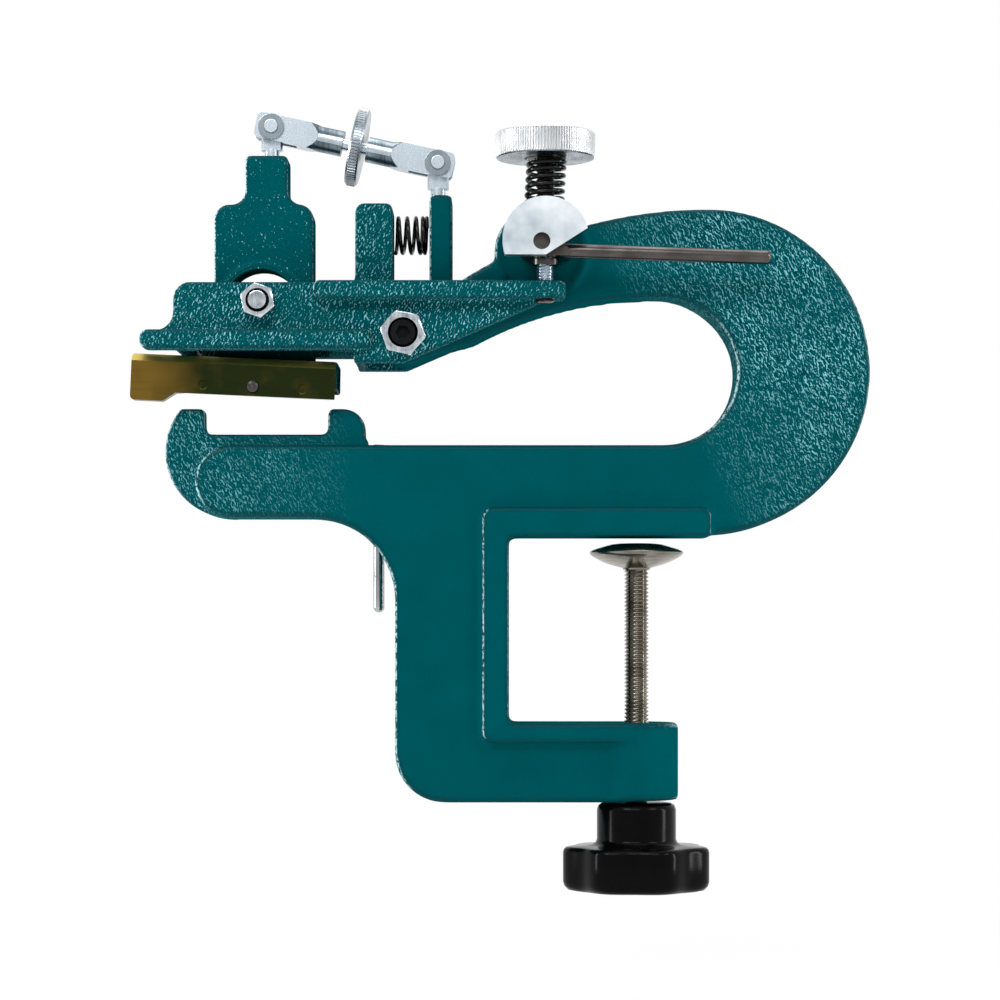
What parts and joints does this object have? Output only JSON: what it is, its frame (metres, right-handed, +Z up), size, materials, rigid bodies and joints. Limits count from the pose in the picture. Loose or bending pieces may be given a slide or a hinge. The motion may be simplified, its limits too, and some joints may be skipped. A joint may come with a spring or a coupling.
{
  "type": "manual leather skiver",
  "caption": "Bench-clamped C-frame leather skiver with a rocking blade head, turnbuckle tilt link, knurled height knob, cam quick lift and a lever-raised feed roller.",
  "frame": {"origin": "on the bench seat, the underside of the clamp's upper flange, at the axis of the clamp screw", "axes": "+X along the arms towards the back of the C, +Y from the front into the depth, +Z up along the clamp screw"},
  "size_m": [0.2385, 0.0661, 0.255],
  "materials": {
    "enamel": "dark teal hammered enamel on a grey-iron casting",
    "nickel_steel": "nickel-plated turned steel",
    "black_plastic": "gloss black moulded phenolic",
    "bare_steel": "bare drawn steel",
    "black_oxide": "black-oxided steel",
    "zinc_steel": "bright zinc-plated steel",
    "spring_wire": "blackened spring wire",
    "bronze": "turned bearing bronze",
    "antique_brass": "satin antique brass",
    "blade_steel": "ground tool steel",
    "knurled_steel": "bright knurled steel"
  },
  "bodies": {
    "frame": {"c_frame": "enamel", "right_eye": "zinc_steel"},
    "head": {"rocker_arm": "enamel", "pivot_screw": "black_oxide", "pivot_nut": "zinc_steel", "return_spring": "spring_wire", "saddle_washer": "zinc_steel", "height_spring": "spring_wire"},
    "carrier_hinge": {"tilt_bolt": "zinc_steel", "tilt_nut": "zinc_steel", "tilt_bush": "bronze"},
    "carrier": {"tilt_carrier": "enamel", "blade_holder": "antique_brass", "skiving_blade": "blade_steel", "blade_set_screw_left": "antique_brass", "blade_set_screw_mid": "zinc_steel", "blade_set_screw_right": "antique_brass", "holder_screw_left": "zinc_steel", "holder_screw_right": "zinc_steel", "left_eye": "zinc_steel"},
    "link_rear": {"right_fork": "zinc_steel", "right_pin": "zinc_steel", "right_clip": "zinc_steel"},
    "link_wheel": {"tilt_wheel": "knurled_steel", "tilt_stud": "zinc_steel"},
    "link_front": {"left_fork": "zinc_steel", "left_pin": "zinc_steel", "left_clip": "zinc_steel"},
    "lift_cam": {"cam_barrel": "zinc_steel", "cam_lever": "bare_steel", "cam_ring": "black_oxide"},
    "spring_seat": {"spring_cap": "zinc_steel"},
    "height_screw": {"height_knob": "knurled_steel", "height_stud": "zinc_steel", "stop_collar": "black_oxide"},
    "swivel_pad": {"clamp_pad": "nickel_steel"},
    "clamp_spindle": {"clamp_screw": "nickel_steel", "star_knob": "black_plastic"},
    "roller_crank": {"roller_crank_left": "bare_steel", "roller_crank_right": "bare_steel", "roller_pin": "bare_steel", "roller_lever": "bare_steel"},
    "roller": {"feed_roller": "bare_steel"}
  },
  "joints": [
    {"name": "cam_swing", "type": "hinge", "parent": "frame", "child": "lift_cam", "pos_m": [-0.03, 0, 0.093], "axis": [0, -1, 0], "range_deg": [0, 45]},
    {"name": "head_rock", "type": "hinge", "parent": "frame", "child": "head", "pos_m": [-0.0754, 0, 0.0644], "axis": [0, 1, 0], "range_deg": [0, 3.91], "deforming": ["return_spring"]},
    {"name": "level_keep", "type": "hinge", "parent": "head", "child": "carrier_hinge", "pos_m": [-0.1218, 0, 0.0748], "axis": [0, 1, 0], "range_deg": [-3.95, 0]},
    {"name": "carrier_tilt", "type": "hinge", "parent": "carrier_hinge", "child": "carrier", "pos_m": [-0.1218, 0, 0.0748], "axis": [0, 1, 0], "range_deg": [-2.81, 0.71]},
    {"name": "link_swing", "type": "hinge", "parent": "frame", "child": "link_rear", "pos_m": [-0.0647, 0, 0.1215], "axis": [0, 1, 0], "range_deg": [0, 3.36]},
    {"name": "tilt_wheel_turn", "type": "hinge", "parent": "link_rear", "child": "link_wheel", "pos_m": [-0.0647, 0, 0.1215], "axis": [-0.9772, 0, 0.2122], "range_deg": [-360, 1440]},
    {"name": "link_length", "type": "slide", "parent": "link_rear", "child": "link_front", "axis": [-0.9772, 0, 0.2122], "range_m": [-0.0007, 0.0028]},
    {"name": "height_feed", "type": "slide", "parent": "head", "child": "spring_seat", "axis": [0, 0, 1], "range_m": [-0.002, 0], "deforming": ["height_spring"]},
    {"name": "height_turn", "type": "hinge", "parent": "spring_seat", "child": "height_screw", "pos_m": [-0.03, -0.0182, 0.1], "axis": [0, 0, 1], "range_deg": [-720, 0]},
    {"name": "clamp_feed", "type": "slide", "parent": "frame", "child": "swivel_pad", "axis": [0, 0, 1], "range_m": [-0.045, 0]},
    {"name": "clamp_turn", "type": "hinge", "parent": "swivel_pad", "child": "clamp_spindle", "pos_m": [0, 0, -0.05], "axis": [0, 0, 1], "range_deg": [-12960, 0]},
    {"name": "roller_lift", "type": "hinge", "parent": "frame", "child": "roller_crank", "pos_m": [-0.12, 0.017, 0.0268], "axis": [1, 0, 0], "range_deg": [0, 120]},
    {"name": "roller_spin", "type": "hinge", "parent": "roller_crank", "child": "roller", "pos_m": [-0.12, 0.02536, 0.01684], "axis": [1, 0, 0], "continuous": true}
  ],
  "couplings": [
    {"joint": "head_rock", "follows": "cam_swing", "ratio": 0.086889},
    {"joint": "level_keep", "follows": "cam_swing", "ratio": -0.087716},
    {"joint": "link_swing", "follows": "cam_swing", "ratio": 0.074455},
    {"joint": "carrier_tilt", "follows": "tilt_wheel_turn", "ratio": -0.00195},
    {"joint": "link_length", "follows": "tilt_wheel_turn", "m_per_rad": 0.00011141},
    {"joint": "height_feed", "follows": "height_turn", "m_per_rad": 0.00015915},
    {"joint": "clamp_feed", "follows": "clamp_turn", "m_per_rad": 0.00019894}
  ]
}
